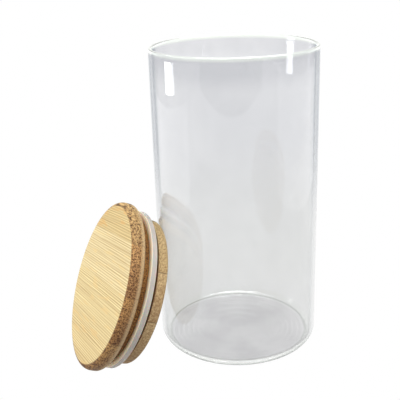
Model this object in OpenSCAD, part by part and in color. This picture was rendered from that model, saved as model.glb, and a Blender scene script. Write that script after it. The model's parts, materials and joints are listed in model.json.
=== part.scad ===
// Lidded glass canister: a straight glass jar that stands on the table, and a turned bamboo lid with a
// silicone sealing ring that leans against it.
// The origin is the centre of the jar's base, +Z is up, and the lid leans on the -X side of the jar.

/* [Glass jar] */
// Outside diameter of the jar
jar_d = 85; // [70:1:110]
// Height of the jar from the table to the rim
jar_h = 159.5; // [100:0.5:200]
// Thickness of the glass wall
jar_wall = 1.6; // [1.2:0.1:2.2]
// Thickness of the glass under the contents
jar_floor = 3.2; // [2:0.1:5]
// Radius of the outside corner at the foot of the jar
foot_round = 7; // [4:0.5:9]
// Radius of the inside corner round the floor of the jar
floor_round = 3.5; // [2:0.5:7]

/* [Bamboo board] */
// Width of one bamboo strip in a layer of the board
strip_w = 24; // [18:1:28]
// Angle of the grain, turned from the line that the lid leans along
grain_angle = -78; // [-90:1:90]
// Distance from the middle of the lid to the middle glue line of the cap layer
cap_seam = 2.8; // [-6:0.1:6]
// Distance from the middle of the lid to the middle glue line of the middle layer
middle_seam = -3; // [-6:0.1:6]
// Distance from the middle of the lid to the middle glue line of the bottom layer
bottom_seam = -7.7; // [-9:0.1:6]

/* [Lid] */
// How far the cap overhangs the outside of the glass all round
cap_overhang = 1.2; // [0:0.1:3]
// Thickness of the cap
cap_t = 6.7; // [5.5:0.1:9]
// Length of the plug under the cap
plug_l = 14.6; // [13:0.1:20]
// Radius of the rounding between the cap's face and its side
face_round = 3.4; // [1:0.1:3.6]
// Radius of the rounding between the cap's side and its underside
under_round = 1.4; // [0.5:0.1:1.8]
// Room all round between the plug and the inside of the glass
plug_clearance = 2.9; // [2:0.1:5]
// Radius of the rounding round the end of the plug
plug_round = 1; // [0.4:0.1:2]
// Distance from the cap's underside to the groove for the sealing ring
groove_drop = 4.3; // [3:0.1:5.5]
// Width of the groove for the sealing ring
groove_w = 4.8; // [4.2:0.1:5.8]
// Depth of the groove for the sealing ring
groove_depth = 2.5; // [1.5:0.1:3.5]

/* [Sealing ring] */
// How far the ring's lip is squeezed by the glass when the lid is on
lip_squeeze = 0.3; // [0.1:0.05:0.8]
// Thickness of the ring's lip
lip_t = 2.8; // [1.8:0.1:3.2]
// Radius of the two corners of the lip's flat edge
lip_round = 0.4; // [0.1:0.1:0.8]
// Width of the ring's root, which sits in the groove
root_w = 3.6; // [3.2:0.1:4]
// Height of the ring's root above the bottom of the groove
root_h = 1.5; // [0.8:0.1:1.5]
// Play between the ring and the faces of its groove
ring_play = 0.05; // [0.02:0.01:0.1]

/* [Leaning lid] */
// How far the lid leans back from upright, towards the jar
lean = 22.5; // [21:0.5:30]
// Room left between the end of the plug and the glass that it leans on
lean_gap = 0.1; // [0.1:0.1:1]

/* [Hidden] */
// Strips in a layer, and layers in the board
STRIPS = 4;
LAYERS = 3;
$fn = 120;

jar_r = jar_d / 2;
bore_r = jar_r - jar_wall;
cap_r = jar_r + cap_overhang;
plug_r = bore_r - plug_clearance;
groove_r = plug_r - groove_depth;
lip_r = bore_r + lip_squeeze;
lip_top = groove_drop + ring_play;
ply = (cap_t + plug_l) / LAYERS;

// Corners of the lid that can touch the table or the jar: height above the cap's underside and distance
// from the lid's axis, both to the middle of the rounding, and the rounding's radius.
CORNERS = [
    [cap_t - face_round, cap_r - face_round, face_round],
    [under_round, cap_r - under_round, under_round],
    [lip_round - lip_top - lip_t, lip_r - lip_round, lip_round],
    [plug_round - plug_l, plug_r - plug_round, plug_round]
];
// Height of the middle of the cap's underside when the lowest corner stands on the table
lid_z = max([for (c = CORNERS) c[1] * cos(lean) - c[0] * sin(lean) + c[2]]);
// Reach from there towards the jar, to the corner that leans on the glass
lid_reach = max([for (c = CORNERS) c[1] * sin(lean) - c[0] * cos(lean) + c[2]]);
lid_x = -(jar_r + lean_gap + lid_reach);

// Bamboo colours: strips alternate a little, as cut from different canes
FACE_TONES = ["navajowhite", "wheat", "moccasin", "wheat"];
PLUG_TONES = ["tan", "burlywood", "tan", "burlywood"];

// Round of radius r with its middle at (x, y), for the rounded corners of the turned profiles
module corner(x, y, r) translate([x, y]) circle(r = r);

// Half section of the glass: outside with a rounded foot, less the inside with a rounded floor,
// and a melted, fully round rim
module jar_section() {
    rim_r = jar_wall / 2;
    difference() {
        union() {
            square([jar_r - foot_round, foot_round]);
            translate([0, foot_round]) square([jar_r, jar_h - rim_r - foot_round]);
            intersection() {
                corner(jar_r - foot_round, foot_round, foot_round);
                square([jar_r, jar_h]);
            }
        }
        translate([0, jar_floor]) square([bore_r - floor_round, jar_h]);
        translate([0, jar_floor + floor_round]) square([bore_r, jar_h]);
        corner(bore_r - floor_round, jar_floor + floor_round, floor_round);
    }
    corner(jar_r - rim_r, jar_h - rim_r, rim_r);
}

module jar_glass() {
    color([0.86, 0.9, 0.9, 0.4]) rotate_extrude() jar_section();
}

// Half section of the cap, from its underside up to its face
module cap_section() {
    square([cap_r - face_round, cap_t]);
    square([cap_r - under_round, cap_t - face_round]);
    translate([0, under_round]) square([cap_r, cap_t - face_round - under_round]);
    corner(cap_r - under_round, under_round, under_round);
    intersection() {
        corner(cap_r - face_round, cap_t - face_round, face_round);
        translate([0, under_round]) square([cap_r, cap_t]);
    }
}

// Half section of the plug, with its groove, from the cap's underside down
module plug_section() {
    difference() {
        union() {
            translate([0, plug_round - plug_l]) square([plug_r, plug_l - plug_round]);
            translate([0, -plug_l]) square([plug_r - plug_round, plug_l]);
            corner(plug_r - plug_round, plug_round - plug_l, plug_round);
        }
        translate([groove_r, -groove_drop - groove_w]) square([plug_r, groove_w]);
    }
}

// The part of a plan that one strip takes: strip number i of a layer whose middle glue line is at seam.
// The outer strips run on to the edge of the lid.
module strip_plan(i, seam) {
    low = i == 1 ? -2 * cap_r : seam + (i - 1 - STRIPS / 2) * strip_w;
    high = i == STRIPS ? 2 * cap_r : seam + (i - STRIPS / 2) * strip_w;
    rotate(grain_angle) translate([-2 * cap_r, low]) square([4 * cap_r, high - low]);
}

// Puts what is modelled face up, on the plane of the cap's underside, into the leaning pose
module leaning() {
    translate([lid_x, 0, lid_z]) rotate([0, lean - 90, 0]) children();
}

// One strip of the turned board: strip number i, in the layer whose lower side is at height low
module strip(i, low, seam) {
    leaning() intersection() {
        rotate_extrude() union() {
            cap_section();
            plug_section();
        }
        translate([0, 0, low]) linear_extrude(height = ply) strip_plan(i, seam);
    }
}

module cap_strip(i) {
    color(FACE_TONES[i - 1]) strip(i, cap_t - ply, cap_seam);
}

module middle_strip(i) {
    color(PLUG_TONES[i - 1]) strip(i, cap_t - 2 * ply, middle_seam);
}

module bottom_strip(i) {
    color(PLUG_TONES[i - 1]) strip(i, cap_t - 3 * ply, bottom_seam);
}

// Half section of the sealing ring: a root in the groove, and a lip with a flat edge that wipes the glass
module ring_section() {
    inner = groove_r + ring_play;
    lip_end = -lip_top - lip_t;
    translate([inner, -lip_top - root_w]) square([root_h, root_w]);
    translate([inner, lip_end]) square([lip_r - lip_round - inner, lip_t]);
    translate([inner, lip_end + lip_round]) square([lip_r - inner, lip_t - 2 * lip_round]);
    for (z = [lip_end + lip_round, -lip_top - lip_round]) corner(lip_r - lip_round, z, lip_round);
}

module seal_ring() {
    color([0.93, 0.93, 0.91, 0.8]) leaning() rotate_extrude() ring_section();
}

jar_glass();
seal_ring();
for (i = [1:STRIPS]) {
    cap_strip(i);
    middle_strip(i);
    bottom_strip(i);
}
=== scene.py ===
# %% [markdown]
# # A lidded glass canister
# The real object is a straight jar of clear borosilicate glass and a thick turned lid of bamboo board, with
# a soft silicone ring round the lid's plug. Here the lid is off and leans on the jar.
# The engineering model is the fixed frame: it says where each part is and how large it is. This script
# builds the finished surfaces round that frame, so the first step is to load it.

# %% Load the frame
import json
import math
import bmesh
import bpy
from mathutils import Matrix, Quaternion, Vector


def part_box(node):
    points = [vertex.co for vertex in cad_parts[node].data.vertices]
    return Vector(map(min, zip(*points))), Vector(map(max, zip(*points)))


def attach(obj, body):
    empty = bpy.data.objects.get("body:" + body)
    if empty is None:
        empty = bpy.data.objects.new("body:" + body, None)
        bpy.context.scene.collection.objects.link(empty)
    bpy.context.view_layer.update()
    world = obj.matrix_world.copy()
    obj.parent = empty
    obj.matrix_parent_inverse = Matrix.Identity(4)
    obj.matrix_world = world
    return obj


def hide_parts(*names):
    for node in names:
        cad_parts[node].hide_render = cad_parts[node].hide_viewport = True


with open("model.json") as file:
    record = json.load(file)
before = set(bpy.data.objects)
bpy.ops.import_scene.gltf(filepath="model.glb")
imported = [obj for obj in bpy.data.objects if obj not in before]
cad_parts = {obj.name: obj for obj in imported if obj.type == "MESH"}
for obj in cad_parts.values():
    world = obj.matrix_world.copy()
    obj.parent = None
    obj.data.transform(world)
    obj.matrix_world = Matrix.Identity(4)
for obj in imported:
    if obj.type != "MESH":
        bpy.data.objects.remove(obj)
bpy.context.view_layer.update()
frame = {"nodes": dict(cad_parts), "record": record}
MM = 0.001

# %% [markdown]
# ## Measuring the jar
# The jar is a glass tube, so a few numbers say everything: its radius and height come from the box of its
# node, and the radius of its bore from the mount that describes the mouth. The wall is what is left.

# %% Measure the jar
JAR_LOW, JAR_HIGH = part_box("jar_glass")
JAR_R = (JAR_HIGH.y - JAR_LOW.y) / 2
JAR_H = JAR_HIGH.z
mouth = next(m for m in frame["record"]["mounts"] if m["name"] == "mouth")
BORE_R = mouth["dims"]["r_mm"] * MM
WALL = JAR_R - BORE_R
print(f"jar {JAR_R * 2:.4f} m across, {JAR_H:.4f} m high, wall {WALL:.4f} m")

# %% [markdown]
# ## Measuring the lid
# The lid leans, and its grain runs aslant, so nothing in it lines up with the room. It could be built
# upright and turned into place by typed angles, but an angle typed twice is soon wrong once. The frame
# already holds the answer. The two widest flat sides of a cap strip are its face and, opposite, its
# underside, and the face is the one that looks away from the jar. A flat side at right angles to it is a glue
# line. Those two directions and the grain between them make the board's own axes.

# %% Find the board's own directions
def flat_sides(node):
    """The directions that a node's flat sides face, the widest first."""
    areas = {}
    for side in frame["nodes"][node].data.polygons:
        facing = tuple(round(part, 3) for part in side.normal)
        areas[facing] = areas.get(facing, 0) + side.area
    ranked = sorted(areas, key=areas.get, reverse=True)
    return [Vector(facing).normalized() for facing in ranked]


cap_sides = flat_sides("cap_strip_2")
UP = next(s for s in cap_sides if s.x < -0.5)
glue_side = next(s for s in cap_sides if abs(s.dot(UP)) < 0.01)
ACROSS = glue_side if glue_side.z > 0 else -glue_side
ALONG = ACROSS.cross(UP).normalized()
print("face looks", [round(c, 3) for c in UP], "grain runs", [round(c, 3) for c in ALONG])

# %% [markdown]
# With the directions known, any point of the frame can be told in the board's own terms: how far along
# the grain, how far across it, and how high above the middle of the lid. The lid is round, so its axis is
# found from the ring, whose box is centred on it.

# %% Measure the lid in its own directions
STRIPS = 4
LAYERS = ["cap", "middle", "bottom"]
ring_low, ring_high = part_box("seal_ring")
ring_middle = (ring_low + ring_high) / 2


def in_board(point):
    """A point of the room, told along the grain, across it and up the lid's axis."""
    offset = point - ring_middle
    return Vector((offset.dot(ALONG), offset.dot(ACROSS), offset.dot(UP)))


def spread(node):
    """Lowest and highest corner of a node in the board's own directions."""
    points = [in_board(v.co) for v in frame["nodes"][node].data.vertices]
    low = Vector([min(p[i] for p in points) for i in range(3)])
    high = Vector([max(p[i] for p in points) for i in range(3)])
    return low, high


def half_section(node):
    """A node's corners as (distance from the lid's axis, height) pairs."""
    points = [in_board(v.co) for v in frame["nodes"][node].data.vertices]
    return [(math.hypot(p.x, p.y), p.z) for p in points]


HAIR = 0.0002
CAP_CORNERS = half_section("cap_strip_2")
END_CORNERS = half_section("bottom_strip_2")
RING_CORNERS = half_section("seal_ring")
CAP_R = max(r for r, z in CAP_CORNERS)
PLUG_R = max(r for r, z in END_CORNERS)
LIP_R = max(r for r, z in RING_CORNERS)
ROOT_R = min(r for r, z in RING_CORNERS)
FACE_Z = max(z for r, z in CAP_CORNERS)
CAP_Z = min(z for r, z in CAP_CORNERS if r > LIP_R)
LIP_TOP = max(z for r, z in RING_CORNERS)
ROOT_END = min(z for r, z in RING_CORNERS)
GROOVE_END = max(z for r, z in END_CORNERS if r > PLUG_R - HAIR)
END_Z = min(z for r, z in END_CORNERS)
RING_PLAY = 0.05 * MM
GROOVE_TOP = LIP_TOP + RING_PLAY
GROOVE_R = ROOT_R - RING_PLAY
print(f"cap {CAP_R:.4f}, plug {PLUG_R:.4f}, ring {LIP_R:.4f}, thickness {FACE_Z - END_Z:.4f} m")

# %% [markdown]
# ## Shader sums written as Python
# Every finish below is worked out by nodes: how dark a fibre is, how far the surface is from a glue line.
# They could be wired one node at a time, but a sum of six terms then takes thirty lines and nobody can read
# it back. A small class that stands for one output socket, and knows what +, - and * mean, lets the script
# say `1 - mask` and adds the Math nodes by itself.

# %% A socket that can stand in a sum
class Wire:
    """One output of a node. Each sum that it stands in adds the Math node that works it out."""

    def __init__(self, finish, socket):
        self.finish = finish
        self.socket = socket

    def math(self, operation, *terms):
        return self.finish.node("ShaderNodeMath", {"operation": operation}, dict(enumerate(terms)))

    def __add__(self, other):
        return self.math("ADD", self, other)

    def __radd__(self, other):
        return self.math("ADD", other, self)

    def __sub__(self, other):
        return self.math("SUBTRACT", self, other)

    def __rsub__(self, other):
        return self.math("SUBTRACT", other, self)

    def __mul__(self, other):
        return self.math("MULTIPLY", self, other)

    def __rmul__(self, other):
        return self.math("MULTIPLY", other, self)

    def __abs__(self):
        return self.math("ABSOLUTE", self)

    def root(self):
        return self.math("SQRT", self)

    def wave(self):
        """The sine: it swings between -1 and 1 as this number grows."""
        return self.math("SINE", self)

    def dot(self, direction):
        """How far this vector goes in a direction."""
        settings = {"operation": "DOT_PRODUCT"}
        return self.finish.node("ShaderNodeVectorMath", settings, {0: self, 1: direction}, "Value")

    def ramp(self, low, high):
        """0 up to low and 1 from high on, with a smooth step between. low may be the larger one."""
        settings = {"interpolation_type": "SMOOTHSTEP"}
        inputs = {"Value": self, "From Min": low, "From Max": high}
        return self.finish.node("ShaderNodeMapRange", settings, inputs)


# %% [markdown]
# A finish is one material. All of its nodes come from one method, which takes the node's type, its settings,
# and what goes into its sockets. Settings are made first, because some of them change which sockets a node
# has. Colours are mixed by a Mix node: a Math node would turn them grey.

# %% A finish, whose nodes come from one method
def colour(red, green, blue):
    """A colour as a maker reads it off a paint card, 0 to 255, turned into the light that it sends back."""
    parts = [part / 255 for part in (red, green, blue)]
    light = [p / 12.92 if p <= 0.04045 else ((p + 0.055) / 1.055) ** 2.4 for p in parts]
    return (*light, 1.0)


class Finish:
    """A material, or the room's own light, under construction."""

    def __init__(self, owner, shader="Principled BSDF"):
        owner.use_nodes = True
        self.owner = owner
        self.tree = owner.node_tree
        self.shader = self.tree.nodes[shader]

    def node(self, kind, settings=None, inputs=None, output=0):
        made = self.tree.nodes.new(kind)
        for name, value in (settings or {}).items():
            setattr(made, name, value)
        for name, value in (inputs or {}).items():
            self.feed(made.inputs[name], value)
        return Wire(self, made.outputs[output])

    def feed(self, socket, value):
        if isinstance(value, Wire):
            self.tree.links.new(value.socket, socket)
        else:
            socket.default_value = value

    def mix(self, share, first, second):
        """first where share is 0, second where it is 1. A Mix node takes colours in its sockets 6 and 7."""
        return self.node("ShaderNodeMix", {"data_type": "RGBA"}, {0: share, 6: first, 7: second}, 2)

    def noise(self, vector, detail=2.0, roughness=0.5):
        inputs = {"Vector": vector, "Scale": 1.0, "Detail": detail, "Roughness": roughness}
        return self.node("ShaderNodeTexNoise", None, inputs)

    def pack(self, x, y, z):
        """Three numbers as one vector."""
        return self.node("ShaderNodeCombineXYZ", None, {0: x, 1: y, 2: z})

    def place(self):
        """Where a point of the piece is in the room, at rest."""
        return self.node("ShaderNodeTexCoord", None, None, "Object")

    def facing(self):
        """The direction that the surface faces."""
        return self.node("ShaderNodeTexCoord", None, None, "Normal")

    def bump(self, height, depth):
        """The normal of a surface whose height varies by depth, in metres."""
        inputs = {"Strength": 1.0, "Distance": depth, "Height": height}
        return self.node("ShaderNodeBump", None, inputs, "Normal")

    def set(self, **inputs):
        """Sets the shader's own sockets: Base_Color stands for Base Color."""
        for name, value in inputs.items():
            self.feed(self.shader.inputs[name.replace("_", " ")], value)


# %% [markdown]
# ## Turning
# The jar, the lid and the ring are all round about an axis, so all three are made as on a lathe: draw half
# of the section, then sweep it round. Blender's Screw modifier can do that, but it keeps the section as an
# object of its own and welds the axis by guesswork. A short function gives a clean solid of even quads.

# %% A lathe
TURN_STEPS = 256
ON_AXIS = 0.0001 * MM
JAR_AXES = (Vector(), Vector((1, 0, 0)), Vector((0, 1, 0)), Vector((0, 0, 1)))
LID_AXES = (ring_middle, ALONG, ACROSS, UP)


def arc(middle_r, middle_z, radius, start, end, steps):
    """Points on a round corner. Angles are in degrees: 0 is away from the axis, and 90 is up."""
    turns = [math.radians(start + (end - start) * i / steps) for i in range(steps + 1)]
    return [(middle_r + radius * math.cos(t), middle_z + radius * math.sin(t)) for t in turns]


def turned(section, axes):
    """A solid turned from a half section, given as (distance from the axis, height) points in order."""
    middle, along, across, up = axes
    bm = bmesh.new()
    rings = []
    for r, z in section:
        turns = [0.0] if r < ON_AXIS else [2 * math.pi * i / TURN_STEPS for i in range(TURN_STEPS)]
        outward = [along * math.cos(t) + across * math.sin(t) for t in turns]
        rings.append([bm.verts.new(middle + out * r + up * z) for out in outward])
    for lower, upper in zip(rings, rings[1:] + rings[:1]):
        for i in range(TURN_STEPS):
            corners = [lower[i % len(lower)], lower[(i + 1) % len(lower)]]
            corners += [upper[(i + 1) % len(upper)], upper[i % len(upper)]]
            corners = list(dict.fromkeys(corners))
            if len(corners) > 2:
                bm.faces.new(corners)
    bmesh.ops.recalc_face_normals(bm, faces=bm.faces)
    return bm


# %% [markdown]
# Every finished piece goes through the same door: it becomes an object, gets its finish, rides on its body,
# and hides the node that it stands for. The shading is smooth, but stays crisp at real edges.

# %% A finished piece
SHARP_ANGLE = math.radians(32)


def piece(name, bm, finish, body, node):
    """Makes an object of a mesh, and ties it to the frame."""
    mesh = bpy.data.meshes.new(name)
    bm.to_mesh(mesh)
    bm.free()
    mesh.shade_smooth()
    mesh.set_sharp_from_angle(angle=SHARP_ANGLE)
    mesh.materials.append(finish.owner)
    made = bpy.data.objects.new(name, mesh)
    bpy.context.scene.collection.objects.link(made)
    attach(made, body)
    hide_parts(node)
    print(f"{name}: {len(mesh.polygons)} faces")
    return made


# %% [markdown]
# ## The glass
# Clear borosilicate glass looks like nothing at all face on. What is seen is its edges, where the light
# crosses a lot of glass, the lamps that it mirrors, and the faults that drawing the tube and pressing the
# floor leave. A Glass shader would bend and mirror the light, but in a white room such a jar has hardly any
# edges. The Principled shader does the same when its transmission is full, and it also takes a colour each
# time the light crosses the surface. So a grey tint can be laid where the real jar looks grey.

# %% The glass's tints
FLOOR_T = 3.2 * MM
FLOOR_ROUND = 3.5 * MM
CLEAR = (1, 1, 1, 1)
BLACK = (0, 0, 0, 1)
FOOT_TINT = (0.845, 0.85, 0.848, 1)
BODY_TINT = (0.835, 0.84, 0.855, 1)
MOUTH_PAINTED_SHADE = (0.735, 0.74, 0.765, 1)
EDGE_PAINTED_SHADE = (0.14, 0.18, 0.23, 1)
RIM_PAINTED_LIGHT = (0.89, 0.92, 0.88, 1)
FLOOR_TINT = (0.63, 0.625, 0.64, 1)
CREASE_PAINTED_SHADE = (0.4, 0.42, 0.4, 1)
HEEL_TINT = (0.8, 0.81, 0.8, 1)
HEEL_PAINTED_OUTLINE = (0.14, 0.15, 0.14, 1)

rim = JAR_H / MM
floor = FLOOR_T / MM
floor_edge = (BORE_R - FLOOR_ROUND) / MM
print(f"in millimetres: rim at {rim:.1f}, floor at {floor:.1f}, floor's edge {floor_edge:.1f} from the axis")

# %% [markdown]
# The wall takes three tints. It is nearly clear low down, and greyer at the mouth, where only one wall stands
# between the eye and the far inside: that grey is painted shade. A cloth has left it a little clearer in some
# places than in others. Where the wall slants away from the eye, just inside each outline, a real tube shows
# a dark line, strongest in the upper half; here that line is painted shade in the tint. A Layer Weight node
# tells the slant, 0 face on and 1 edge on. The rim is paler again, as painted light for the light that leaves
# it.

# %% The wall's tint
def wall_tint(glass, z, slant, smears):
    upper_half = z.ramp(60, 120)
    mouth = z.ramp(rim - 17, rim - 7)
    bead = z.ramp(rim - 2.6, rim - 1.4)
    edge = slant.ramp(0.62, 0.84) * (1 - slant.ramp(0.93, 1.0))
    tint = glass.mix(upper_half, FOOT_TINT, BODY_TINT)
    # Painted shade: the tint turns greyer towards the mouth.
    tint = glass.mix(mouth, tint, MOUTH_PAINTED_SHADE)
    tint = glass.mix(smears.ramp(0.4, 0.7) * 0.2, tint, CLEAR)
    # Painted shade: a dark line in the tint just inside each outline, standing in for the dark surroundings
    # mirrored there.
    tint = glass.mix(edge * (0.22 + upper_half * 0.74), tint, EDGE_PAINTED_SHADE)
    # Painted light: the bead of the rim is tinted paler and greener, for the light that the wall carries up
    # and lets out there.
    return glass.mix(bead, tint, RIM_PAINTED_LIGHT)


# %% [markdown]
# The floor is thicker than the wall and a little wavy from the press, so it looks like a grey disc, with
# faint lighter rings on it as painted light where the ripples would catch it. Round it runs the heel, the
# solid
# corner of glass that the jar stands on: pale, with a thin dark outline of painted shade. The inside corner
# between floor and heel gets a fine dark crease of painted shade. All three are told apart by height and by
# distance from the axis.

# %% The floor's and the heel's tint
def foot_tint(glass, tint, radius, z, slant, smears):
    """The tint of the wall, covered by the floor's and the heel's tints and the crease's painted shade where
    they are.
    """
    inside = radius.ramp(floor_edge + 0.3, floor_edge - 0.1)
    on_floor = z.ramp(floor + 0.5, floor + 0.2) * inside
    on_heel = z.ramp(7.0, 3.0) * (1 - inside)
    # Painted shade: a fine dark crease in the inside corner between floor and heel.
    crease_shade = abs(radius - floor_edge - 0.3).ramp(0.9, 0.4) * abs(z - floor).ramp(1.0, 0.6)
    # Painted light: faint lighter rings in the floor's tint, where its pressed ripples would catch the light.
    rings = (radius * 2.3).wave().ramp(0.3, 1.0) * radius.ramp(16, 30)
    disc = glass.mix(rings * 0.16 + smears.ramp(0.35, 0.65) * 0.25, FLOOR_TINT, CLEAR)
    # Painted shade: a thin dark line where the heel slants away from the eye.
    heel = glass.mix(slant.ramp(0.46, 0.7), HEEL_TINT, HEEL_PAINTED_OUTLINE)
    tint = glass.mix(on_floor, tint, disc)
    tint = glass.mix(on_heel, tint, heel)
    return glass.mix(crease_shade * 0.85, tint, CREASE_PAINTED_SHADE)


# %% [markdown]
# Light that enters a tube runs up inside the wall and comes out at the rim, so the rim of a real jar is
# brighter than anything behind it. Few of the camera's rays find that way back, however long they are
# followed. A weak glow of the rim's own stands in for the rest, stronger where the rim slants away and would
# look dark.

# %% The glass finish
RIM_GLOW = (0.05, 0.055, 0.048, 1)
RIM_OUTLINE = (0.3, 0.31, 0.29, 1)
DRAW_LINE_DEPTH = 0.02 * MM


def glass_finish():
    glass = Finish(bpy.data.materials.new("clear_glass"))
    place = glass.place()
    x, y, z = [place.dot(axis) * (1 / MM) for axis in JAR_AXES[1:]]
    radius = (x * x + y * y).root()
    draw_lines = glass.noise(glass.pack(x * 0.35, y * 0.35, z * 0.012), 2.0)
    smears = glass.noise(glass.pack(x * 0.04, y * 0.04, z * 0.03), 3.0)
    slant = glass.node("ShaderNodeLayerWeight", None, {"Blend": 0.5}, "Facing")
    tint = wall_tint(glass, z, slant, smears)
    bead = z.ramp(rim - 1.8, rim - 0.8)
    glow = glass.mix(slant.ramp(0.35, 0.75), RIM_GLOW, RIM_OUTLINE)
    glass.set(
        Base_Color=foot_tint(glass, tint, radius, z, slant, smears),
        Roughness=smears.ramp(0.5, 0.9) * 0.02,
        IOR=1.47,
        Transmission_Weight=1.0,
        Emission_Color=glass.mix(bead, BLACK, glow),
        Emission_Strength=1.0,
        Normal=glass.bump(draw_lines, DRAW_LINE_DEPTH),
    )
    return glass


# %% [markdown]
# ## The jar
# The jar is one piece: wall, foot and rim. The rim has been melted back in a flame, so it is a bead a
# little thicker than the wall, and the foot's outside corner is rounder than the inside one because the
# glass is thickest there. The base is pushed up a little in the middle, so that the jar stands on a ring and
# doesn't rock. The floor is pressed while hot, and keeps faint ripples that catch the light. The section
# starts under the base, goes up the outside, over the rim and down the inside. Down the bore its points are
# crowded near the rim, where the bead bends it.

# %% The jar's section
FOOT_ROUND = 7 * MM
BEAD = 0.25 * MM
BEAD_DROP = 3.5 * MM
PUNT = 0.5 * MM
RIPPLE = 0.05 * MM
RIPPLES = 6
BASE_STEPS = 40
WALL_STEPS = 40
BORE_STEPS = 60
BORE_CROWDING = 1.6
FLOOR_STEPS = 80


def bore_at(z):
    """Radius of the inside of the jar: straight, and closing in a little at the rim's bead."""
    rise = min(max((z - (JAR_H - BEAD_DROP)) / BEAD_DROP, 0.0), 1.0)
    return BORE_R - BEAD * rise * rise * (3 - 2 * rise)


def jar_section():
    """Half section of the jar, from the middle of its base out, up, over the rim and back down inside."""
    rim_r = (JAR_R - bore_at(JAR_H)) / 2
    foot_r = JAR_R - FOOT_ROUND
    shares = [i / BASE_STEPS for i in range(BASE_STEPS)]
    section = [(foot_r * share, PUNT * (1 + math.cos(math.pi * share)) / 2) for share in shares]
    section += arc(foot_r, FOOT_ROUND, FOOT_ROUND, -90, 0, 20)
    straight = JAR_H - rim_r - FOOT_ROUND
    section += [(JAR_R, FOOT_ROUND + straight * i / WALL_STEPS) for i in range(1, WALL_STEPS)]
    section += arc(JAR_R - rim_r, JAR_H - rim_r, rim_r, 0, 180, 12)
    drop = JAR_H - rim_r - FLOOR_T - FLOOR_ROUND
    drops = [drop * (i / BORE_STEPS) ** BORE_CROWDING for i in range(1, BORE_STEPS)]
    section += [(bore_at(JAR_H - rim_r - d), JAR_H - rim_r - d) for d in drops]
    corner_r = BORE_R - FLOOR_ROUND
    section += arc(corner_r, FLOOR_T + FLOOR_ROUND, FLOOR_ROUND, 0, -90, 12)
    for i in range(FLOOR_STEPS):
        share = 1 - (i + 1) / FLOOR_STEPS
        ripple = RIPPLE * math.cos(share * 2 * math.pi * RIPPLES) * (1 - share * share)
        section.append((corner_r * share, FLOOR_T + ripple))
    return section


# %% Turn the jar
jar = piece("jar", turned(jar_section(), JAR_AXES), glass_finish(), "jar", "jar_glass")

# %% [markdown]
# ## The bamboo
# Bamboo has no growth rings. It is pale ground tissue with tough bundles of fibre running dead straight
# through it, and that is all its pattern: cut across, the bundles are dark dots, and cut lengthwise they are
# fine lines. An image of a board would have to be stretched differently on every side. A solid pattern, with
# round bundles drawn in the plane across the grain and left to run along it, gives dots on the cut ends and
# lines on the face from the same few nodes, and they meet at the edge as they do in a real board.
#
# So the finish starts from a place in the board, and every mark is noise that is long along the grain and
# narrow across it. Each mark reads the noise at a depth of its own, so that no two marks fall together.

# %% Marks in a board
CELL = 0.72
WANDER = 1.2
DEPTHS = {
    "wander": 0.0,
    "drift": 7.0,
    "streaks": 3.0,
    "fibres": 5.0,
    "fine": 9.0,
    "patches": 11.0,
    "clumps": 15.0,
    "sway": 19.0,
}


class Board:
    """A place in one strip of the board, in millimetres, and the marks that all its surfaces share."""

    def __init__(self, wood, seed, glue):
        """glue holds the strip's two glue lines, across the grain, in metres."""
        self.wood = wood
        self.seed = seed
        self.low, self.high = [edge / MM for edge in glue]
        place = wood.place()
        offsets = [place.dot(axis) - ring_middle.dot(axis) for axis in (ALONG, ACROSS, UP)]
        self.along, self.across, self.height = [offset * (1 / MM) for offset in offsets]
        self.sides = abs(wood.facing().dot(UP)).ramp(0.985, 0.95)
        self.fibres = self.grain("fibres", 130, 0.4, 1.0).ramp(0.4, 0.58)
        self.fine = self.grain("fine", 45, 0.24, 1.0).ramp(0.3, 0.7)

    def grain(self, mark, length, width, detail=2.0):
        """Noise whose patches are that long and that wide, in millimetres."""
        depth = self.height * (1 / width) + self.seed + DEPTHS[mark]
        spot = self.wood.pack(self.along * (1 / length), self.across * (1 / width), depth)
        return self.wood.noise(spot, detail)

    def bundles(self):
        """The fibre bundles: 1 in a bundle, and 0 between them. They wander a little along the grain."""
        wander = (self.grain("wander", 90, 14) - 0.5) * WANDER
        drift = (self.grain("drift", 90, 14) - 0.5) * WANDER
        x = (self.across + wander) * (1 / CELL)
        y = (self.height + drift) * (1 / CELL) + self.seed
        settings = {"voronoi_dimensions": "2D", "feature": "F1"}
        inputs = {"Vector": self.wood.pack(x, y, 0.0), "Scale": 1.0}
        return self.wood.node("ShaderNodeTexVoronoi", settings, inputs, "Distance").ramp(0.5, 0.22)


# %% [markdown]
# The face is planed along the grain, so what shows there is lines. Real ones are surprisingly even, because
# the bundles lie in layers in the cane: a sine across the grain gives them, and a slow noise sways it enough
# that they crowd and part. Finer fibres come on top. Here and there a patch is a warmer colour.

# %% The face
def face_light(board):
    """How light the face is along its fibres, 0 to 1."""
    streaks = board.grain("streaks", 170, 3.4).ramp(0.36, 0.64)
    sway = board.grain("sway", 60, 2.5) * 9.0
    lines = (board.across * 5.2 + sway).wave().ramp(-0.7, 0.7)
    return streaks * 0.06 + lines * 0.38 + board.fibres * 0.34 + board.fine * 0.22


def face_shade(board, light, tones):
    pale, tan, warm = tones
    patches = board.grain("patches", 17, 2.6).ramp(0.54, 0.66)
    shade = board.wood.mix(light, tan, pale)
    return board.wood.mix(patches * 0.45, shade, warm)


# %% [markdown]
# Cut ends drink in more oil than the face does, so everything that doesn't look up or down is darker, with
# the bundles darkest. Each strip's ends are also painted lighter towards its upper glue line, as painted
# light from above. Just above the cap's rounded underside edge the side gets a pale band, a painted highlight
# where that edge catches the light. In the groove the wood gets painted shade, a deep brown.

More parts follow.
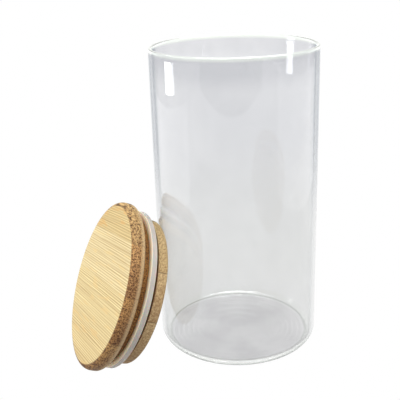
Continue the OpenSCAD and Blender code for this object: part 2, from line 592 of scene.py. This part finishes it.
# %% The cut ends
DARK_DOTS = colour(60, 32, 14)
TAN_DOTS = colour(146, 110, 68)
BACK_EDGE_PAINTED_LIGHT = colour(220, 192, 146)
GROOVE_SHADE = colour(84, 48, 24)
BACK_EDGE_BAND = CAP_Z / MM
GROOVE_BAND = (GROOVE_END / MM, GROOVE_TOP / MM)


def end_shade(board, bundles, tones, dots):
    ground, gold = tones
    clumps = board.grain("clumps", 7, 1.1).ramp(0.38, 0.62)
    # Painted light: each strip's ends grow lighter towards its upper glue line, which lies higher in the
    # room, as if lit from above.
    painted_top_light = board.across.ramp(board.low, board.high)
    shade = board.wood.mix(clumps * 0.4 + board.fine * 0.2 + painted_top_light * 0.4, ground, gold)
    shade = board.wood.mix(bundles * (0.95 - clumps * 0.4), shade, dots)
    # Painted light: a pale band on the cap's side just above its rounded underside edge, where that edge
    # catches the light.
    edge_light = board.height.ramp(BACK_EDGE_BAND + 3.0, BACK_EDGE_BAND + 1.2)
    edge_light = edge_light * board.height.ramp(BACK_EDGE_BAND - 0.2, BACK_EDGE_BAND + 0.1)
    return board.wood.mix(edge_light * (0.35 + board.fine * 0.4), shade, BACK_EDGE_PAINTED_LIGHT)


def groove_shade_mask(board):
    """1 in the groove, and 0 above and below it."""
    end, top = GROOVE_BAND
    return board.height.ramp(end - 0.5, end - 0.15) * board.height.ramp(top + 0.3, top)


# %% [markdown]
# A glue line is thin and dark. On the sanded face it nearly disappears, and on the sides it shows as a fine
# seam. The last step mixes the face and the ends by which way the surface looks, then lays the groove's
# painted shade and the glue over both.

# %% The bamboo finish
FIBRE_DEPTH = 0.05 * MM


def bamboo_finish(name, face, ends, dots, seed, glue, seam):
    """One strip's finish. seam is how strongly its two glue lines show on the sides, 0 to 1."""
    wood = Finish(bpy.data.materials.new(name))
    board = Board(wood, seed, glue)
    bundles = board.bundles()
    light = face_light(board)
    shade = wood.mix(board.sides, face_shade(board, light, face), end_shade(board, bundles, ends, dots))
    # Painted shade: the groove between the ring and the plug is darkened to a deep brown.
    shade = wood.mix(groove_shade_mask(board) * 0.85, shade, GROOVE_SHADE)
    line = abs(board.across - board.low).ramp(0.34, 0.1) + abs(board.across - board.high).ramp(0.34, 0.1)
    shade = wood.mix(line * (0.08 + board.sides * seam), shade, DARK_DOTS)
    wood.set(
        Base_Color=shade,
        Roughness=0.48 + board.sides * 0.12 + board.fibres * 0.1,
        Specular_IOR_Level=0.3,
        Normal=wood.bump(light * 0.5 - bundles * board.sides * 0.6, FIBRE_DEPTH),
    )
    return wood


# %% [markdown]
# ## The lid
# The lid is turned from board: three layers of strips glued side by side. It could be one turned solid with
# glue lines painted on, but then every strip would share one tone and one run of fibres. Instead each strip
# is sawn out of a whole turned lid of its own, where the frame says that its glue lines are.

# %% The lid's section
FACE_ROUND = 3.4 * MM
UNDER_ROUND = 1.4 * MM
PLUG_ROUND = 1 * MM
FLAT_STEPS = 30


def lid_section():
    """Half section of the lid, from the middle of its face out, down and back in under the plug."""
    section = [((CAP_R - FACE_ROUND) * i / FLAT_STEPS, FACE_Z) for i in range(FLAT_STEPS)]
    section += arc(CAP_R - FACE_ROUND, FACE_Z - FACE_ROUND, FACE_ROUND, 90, 0, 14)
    section += arc(CAP_R - UNDER_ROUND, CAP_Z + UNDER_ROUND, UNDER_ROUND, 0, -90, 8)
    section += [(PLUG_R, CAP_Z), (PLUG_R, GROOVE_TOP)]
    section += [(GROOVE_R, GROOVE_TOP), (GROOVE_R, GROOVE_END), (PLUG_R, GROOVE_END)]
    section += arc(PLUG_R - PLUG_ROUND, END_Z + PLUG_ROUND, PLUG_ROUND, 0, -90, 8)
    section += [((PLUG_R - PLUG_ROUND) * (1 - i / FLAT_STEPS), END_Z) for i in range(1, FLAT_STEPS + 1)]
    return section


print("cap underside", round(CAP_Z, 5), "groove", round(GROOVE_TOP, 5), round(GROOVE_END, 5))

# %% [markdown]
# A cut is made as with a saw: everything beyond a plane goes, and the open side is closed with a flat face.

# %% A saw, and a strip
def saw(bm, middle, direction):
    """Cuts off what lies on the direction's side of a point, and closes the cut."""
    whole = bm.verts[:] + bm.edges[:] + bm.faces[:]
    cut = bmesh.ops.bisect_plane(bm, geom=whole, plane_co=middle, plane_no=direction, clear_outer=True)
    edges = [e for e in cut["geom_cut"] if isinstance(e, bmesh.types.BMEdge)]
    bmesh.ops.triangle_fill(bm, use_beauty=True, edges=edges)


def strip(layer, number, finish):
    """Turns the whole lid and saws off all but one strip. What lies outermost keeps its turned side."""
    node = f"{layer}_strip_{number}"
    low, high = spread(node)
    bm = turned(lid_section(), LID_AXES)
    if number > 1:
        saw(bm, ring_middle + ACROSS * low.y, -ACROSS)
    if number < STRIPS:
        saw(bm, ring_middle + ACROSS * high.y, ACROSS)
    if layer != "bottom":
        saw(bm, ring_middle + UP * low.z, -UP)
    if layer != "cap":
        saw(bm, ring_middle + UP * high.z, UP)
    bmesh.ops.recalc_face_normals(bm, faces=bm.faces)
    return piece(f"{layer}_board_{number}", bm, finish, "lid", node)


# %% [markdown]
# Each strip is cut from a cane of its own, so each has its own tones, and reads the pattern at its own
# place. The tones of the face are pale, tan and warm, and those of the ends are ground and gold. The strips
# are numbered from the bottom of the leaning lid up.

# %% The strips' tones
FACE_TONES = [
    [colour(246, 226, 168), colour(176, 143, 86), colour(228, 190, 120)],
    [colour(247, 229, 172), colour(179, 147, 90), colour(230, 196, 128)],
    [colour(248, 231, 180), colour(184, 153, 96), colour(232, 202, 136)],
    [colour(240, 217, 156), colour(168, 136, 80), colour(226, 170, 88)],
]
CAP_ENDS = [
    [colour(122, 80, 42), colour(198, 154, 94)],
    [colour(110, 68, 34), colour(192, 144, 84)],
    [colour(112, 70, 38), colour(196, 150, 92)],
    [colour(130, 90, 50), colour(214, 178, 118)],
]
MIDDLE_ENDS = [[colour(122, 80, 34), colour(162, 115, 56)]] * STRIPS
BOTTOM_ENDS = [
    [colour(160, 124, 80), colour(190, 154, 104)],
    [colour(152, 116, 72), colour(216, 188, 138)],
    [colour(158, 122, 80), colour(224, 196, 146)],
    [colour(188, 158, 110), colour(222, 196, 144)],
]
ENDS = {"cap": CAP_ENDS, "middle": MIDDLE_ENDS, "bottom": BOTTOM_ENDS}
DOTS = {"cap": DARK_DOTS, "middle": DARK_DOTS, "bottom": TAN_DOTS}
SEAMS = {"cap": 0.2, "middle": 0.2, "bottom": 0.55}
STRIP_SEED = 13.7
LAYER_SEED = 5.1

# %% Make the twelve strips
for layer_number, layer in enumerate(LAYERS):
    for number in range(1, STRIPS + 1):
        low, high = spread(f"{layer}_strip_{number}")
        seed = STRIP_SEED * number + LAYER_SEED * layer_number
        name = f"bamboo_{layer}_{number}"
        tones = FACE_TONES[number - 1]
        ends = ENDS[layer][number - 1]
        wood = bamboo_finish(name, tones, ends, DOTS[layer], seed, (low.y, high.y), SEAMS[layer])
        strip(layer, number, wood)

# %% [markdown]
# ## The sealing ring
# The ring is milky silicone, moulded in one piece: a root that sits in the groove and a lip that wipes the
# glass. Light goes a little way in and comes out again, so thick parts look like wax: subsurface scattering
# gives that, with a small share of transmission. Where the lip's flanks end in its outer edge, the light has
# little silicone to cross, and the edge glows. Scattering alone is too weak to show that on so small a piece,
# so there the flanks get a paler colour and a little light of their own. A flank looks along the lid's axis,
# and the band round the lip looks away from it.

# %% The ring's finish
BAND_TONES = [colour(199, 194, 187), colour(211, 204, 194)]
FLANK = colour(226, 208, 178)
LIP_EDGE = colour(252, 242, 222)
LIP_GLOW = colour(250, 236, 208)
THIN_BAND = (PLUG_R / MM + 0.6, LIP_R / MM - 0.8)
SKIN_DEPTH = 0.01 * MM


def silicone_finish():
    rubber = Finish(bpy.data.materials.new("milky_silicone"))
    place = rubber.place()
    x, y, z = [(place.dot(axis) - ring_middle.dot(axis)) * (1 / MM) for axis in LID_AXES[1:]]
    radius = (x * x + y * y).root()
    cloud = rubber.noise(rubber.pack(x * 0.12, y * 0.12, z * 0.5), 3.0).ramp(0.35, 0.65)
    skin = rubber.noise(rubber.pack(x * 4, y * 4, z * 4), 2.0)
    flank = abs(rubber.facing().dot(UP)).ramp(0.3, 0.8)
    thin = flank * radius.ramp(*THIN_BAND)
    milk = rubber.mix(flank, rubber.mix(cloud, *BAND_TONES), FLANK)
    rubber.set(
        Base_Color=rubber.mix(thin, milk, LIP_EDGE),
        Roughness=0.42 + skin * 0.16,
        IOR=1.41,
        Transmission_Weight=0.1,
        Subsurface_Weight=0.4,
        Subsurface_Scale=2.5 * MM,
        Emission_Color=rubber.mix(thin, BLACK, LIP_GLOW),
        Emission_Strength=0.14,
        Normal=rubber.bump(skin, SKIN_DEPTH),
    )
    return rubber


# %% Turn the ring
LIP_ROUND = 0.4 * MM
ROOT_H = 1.5 * MM


def ring_section():
    """Half section of the ring: up the root's back, out along the lip, round it and home."""
    edge_r = LIP_R - LIP_ROUND
    section = [(ROOT_R, ROOT_END), (ROOT_R, LIP_TOP)]
    section += arc(edge_r, LIP_TOP - LIP_ROUND, LIP_ROUND, 90, 0, 6)
    section += arc(edge_r, LIP_ROUND - LIP_TOP, LIP_ROUND, 0, -90, 6)
    section += [(ROOT_R + ROOT_H, -LIP_TOP), (ROOT_R + ROOT_H, ROOT_END)]
    return section


piece("ring", turned(ring_section(), LID_AXES), silicone_finish(), "lid", "seal_ring")

# %% [markdown]
# ## The camera
# The camera stands to the left of the jar, a little above it, and looks slightly down. It is placed by
# distance and direction from the jar's axis, so that the numbers mean something.

# %% Place the camera
CAMERA_AZIMUTH = math.radians(-21.69)
CAMERA_DISTANCE = 0.3688
CAMERA_HEIGHT = 0.2103
CAMERA_AIM = Vector((-0.0178, 0.0071, 0.0780))
CAMERA_ROLL = math.radians(-1.877)
CAMERA_LENS = 66.26
SENSOR_WIDTH = 36
camera = bpy.data.objects.new("camera", bpy.data.cameras.new("camera"))
bpy.context.scene.collection.objects.link(camera)
bpy.context.scene.camera = camera
camera.location = (
    math.sin(CAMERA_AZIMUTH) * CAMERA_DISTANCE,
    -math.cos(CAMERA_AZIMUTH) * CAMERA_DISTANCE,
    CAMERA_HEIGHT,
)
camera.data.lens = CAMERA_LENS
camera.data.sensor_width = SENSOR_WIDTH
camera.data.clip_start = 10 * MM
camera.rotation_mode = "QUATERNION"
aim = (CAMERA_AIM - camera.location).to_track_quat("-Z", "Y")
camera.rotation_quaternion = aim @ Quaternion((0, 0, 1), CAMERA_ROLL)
print("camera at", [round(c, 4) for c in camera.location])

# %% [markdown]
# ## The studio
# The canister stands on a white table in a white room, and glass-ware is lit by its surroundings: whatever
# is round it shows in it. The room is a large glowing shell, and the table glows as well, so that neither
# shows a shadow or a corner. But a shell that lights the wood from all sides alike leaves it flat. So the
# shell and the table are only seen, in the open and in the glass, and the light that falls on the wood comes
# from a softer room outside, bright above and dim below, and from the lamps.

# %% The white shell and the table
SHELL_R = 2.5
TABLE_DROP = 0.1 * MM
WHITE = (1, 1, 1, 1)


def only_seen(made):
    """The object shows in the open, in reflections and through glass, and gives and blocks no soft light."""
    made.visible_diffuse = False
    made.visible_shadow = False


def stage_piece(name, bm, strength):
    """A plain stage object, black but for the white light that it gives off."""
    finish = Finish(bpy.data.materials.new(name))
    finish.set(Base_Color=BLACK, Roughness=1.0, Specular_IOR_Level=0.0)
    finish.set(Emission_Color=WHITE, Emission_Strength=strength)
    mesh = bpy.data.meshes.new(name)
    bm.to_mesh(mesh)
    bm.free()
    mesh.materials.append(finish.owner)
    made = bpy.data.objects.new(name, mesh)
    bpy.context.scene.collection.objects.link(made)
    only_seen(made)
    print(f"stage: {name}, glowing {strength}")
    return made


table_mesh = bmesh.new()
bmesh.ops.create_grid(table_mesh, x_segments=1, y_segments=1, size=SHELL_R)
table = stage_piece("table", table_mesh, 1.0)
table.location.z = -TABLE_DROP
shell_mesh = bmesh.new()
bmesh.ops.create_icosphere(shell_mesh, subdivisions=4, radius=SHELL_R)
stage_piece("shell", shell_mesh, 1.0)

# %% [markdown]
# The soft light outside the shell belongs to the world. Its brightness follows the direction: the height of
# the direction's tip is 1 straight up and -1 straight down.

# %% The soft light
room = Finish(bpy.data.worlds.new("room"), "Background")
bpy.context.scene.world = room.owner
direction = room.node("ShaderNodeTexCoord", None, None, "Generated")
DIM_BELOW = (0.34, 0.33, 0.32, 1)
BRIGHT_ABOVE = (1.2, 1.2, 1.21, 1)
above = direction.dot((0, 0, 1)).ramp(-0.5, 1.0)
room.set(Color=room.mix(above, DIM_BELOW, BRIGHT_ABOVE), Strength=1.0)

# %% [markdown]
# White all round would leave the same glare on the whole jar. In a studio, a dark card stands behind the
# camera, and the middle of the jar mirrors it. Here it is seen by mirrored rays alone.

# %% The dark card
def card(name, azimuth, distance, width, height):
    """An upright black card that faces the jar. The azimuth is in degrees from the view's forward."""
    turn = math.radians(azimuth) + CAMERA_AZIMUTH
    ahead = Vector((-math.sin(turn), math.cos(turn), 0))
    beside = ahead.cross(Vector((0, 0, 1)))
    bm = bmesh.new()
    corners = []
    for across, up in [(-width / 2, 0), (width / 2, 0), (width / 2, height), (-width / 2, height)]:
        corners.append(bm.verts.new(ahead * distance + beside * across + Vector((0, 0, up))))
    bm.faces.new(corners)
    made = stage_piece(name, bm, 0.0)
    made.visible_camera = False
    made.visible_transmission = False
    return made


card("camera_card", 176, 0.6, 1.0, 0.5)

# %% [markdown]
# Three lamps give the hard light. The slim one stands low at the back left: the glass mirrors it twice,
# outside on the left and inside on the right, as two upright streaks. The next lights the lid's face from
# the left, and the one overhead lights what looks up. A lamp is only light here, and its own rectangle would
# be seen through the glass, so it is hidden from the camera and from light that goes through. The slim one
# is the exception: its right-hand streak reaches the eye through the left wall.

# %% The lamps
def lamp(name, place, target, size, power):
    """A rectangular lamp at a place, turned to a target. size is its width and height in metres."""
    light = bpy.data.lights.new(name, "AREA")
    light.shape = "RECTANGLE"
    light.size, light.size_y = size
    light.energy = power
    made = bpy.data.objects.new(name, light)
    made.location = place
    made.rotation_mode = "QUATERNION"
    made.rotation_quaternion = (Vector(target) - made.location).to_track_quat("-Z", "Y")
    made.visible_camera = False
    made.visible_transmission = False
    bpy.context.scene.collection.objects.link(made)
    print(f"lamp: {name}, {power} W")
    return made


streak_lamp = lamp("streak_lamp", (-0.45, 0.21, 0.071), (0, 0, 0.071), (0.12, 0.052), 0.18)
streak_lamp.visible_transmission = True
lamp("face_lamp", (-1.1, 0.1, 0.6), (-0.07, 0, 0.04), (0.6, 0.6), 3.2)
lamp("top_lamp", (0.15, -0.1, 1.1), (0, 0, 0.08), (0.5, 0.5), 6.5)

# %% [markdown]
# Three more lamps are there to be mirrored and for nothing else: a wide one overhead draws the bright line
# round the rim, and a pale panel on each side lightens the lower half of the jar. They would wash out the
# wood, so light linking lets them reach the jar alone.

# %% The mirrored lamps
mirrored = [
    lamp("rim_lamp", (0, -0.1, 1.0), (0, 0, 0.16), (1.6, 0.6), 45),
    lamp("left_panel", (-0.23, 0.1, 0.0425), (0, 0, 0.0425), (0.3, 0.085), 0.055),
    lamp("right_panel", (0.23, -0.09, 0.055), (0, 0, 0.055), (0.36, 0.11), 0.065),
]
glass_only = bpy.data.collections.new("glass_only")
glass_only.objects.link(jar)
for panel in mirrored:
    panel.light_linking.receiver_collection = glass_only
    panel.visible_diffuse = False

# %% [markdown]
# Light in a glass wall bounces many times before it comes out. A path that is cut short turns black, and
# shows as dark dots along the rim and the foot, so the paths may be long. The colours are shown as they are,
# without a film-like curve, so that white stays white.

# %% Long light paths and plain colours
LONGEST_PATH = 128
paths = bpy.context.scene.cycles
paths.max_bounces = LONGEST_PATH
paths.glossy_bounces = LONGEST_PATH
paths.transmission_bounces = LONGEST_PATH
bpy.context.scene.view_settings.view_transform = "Standard"
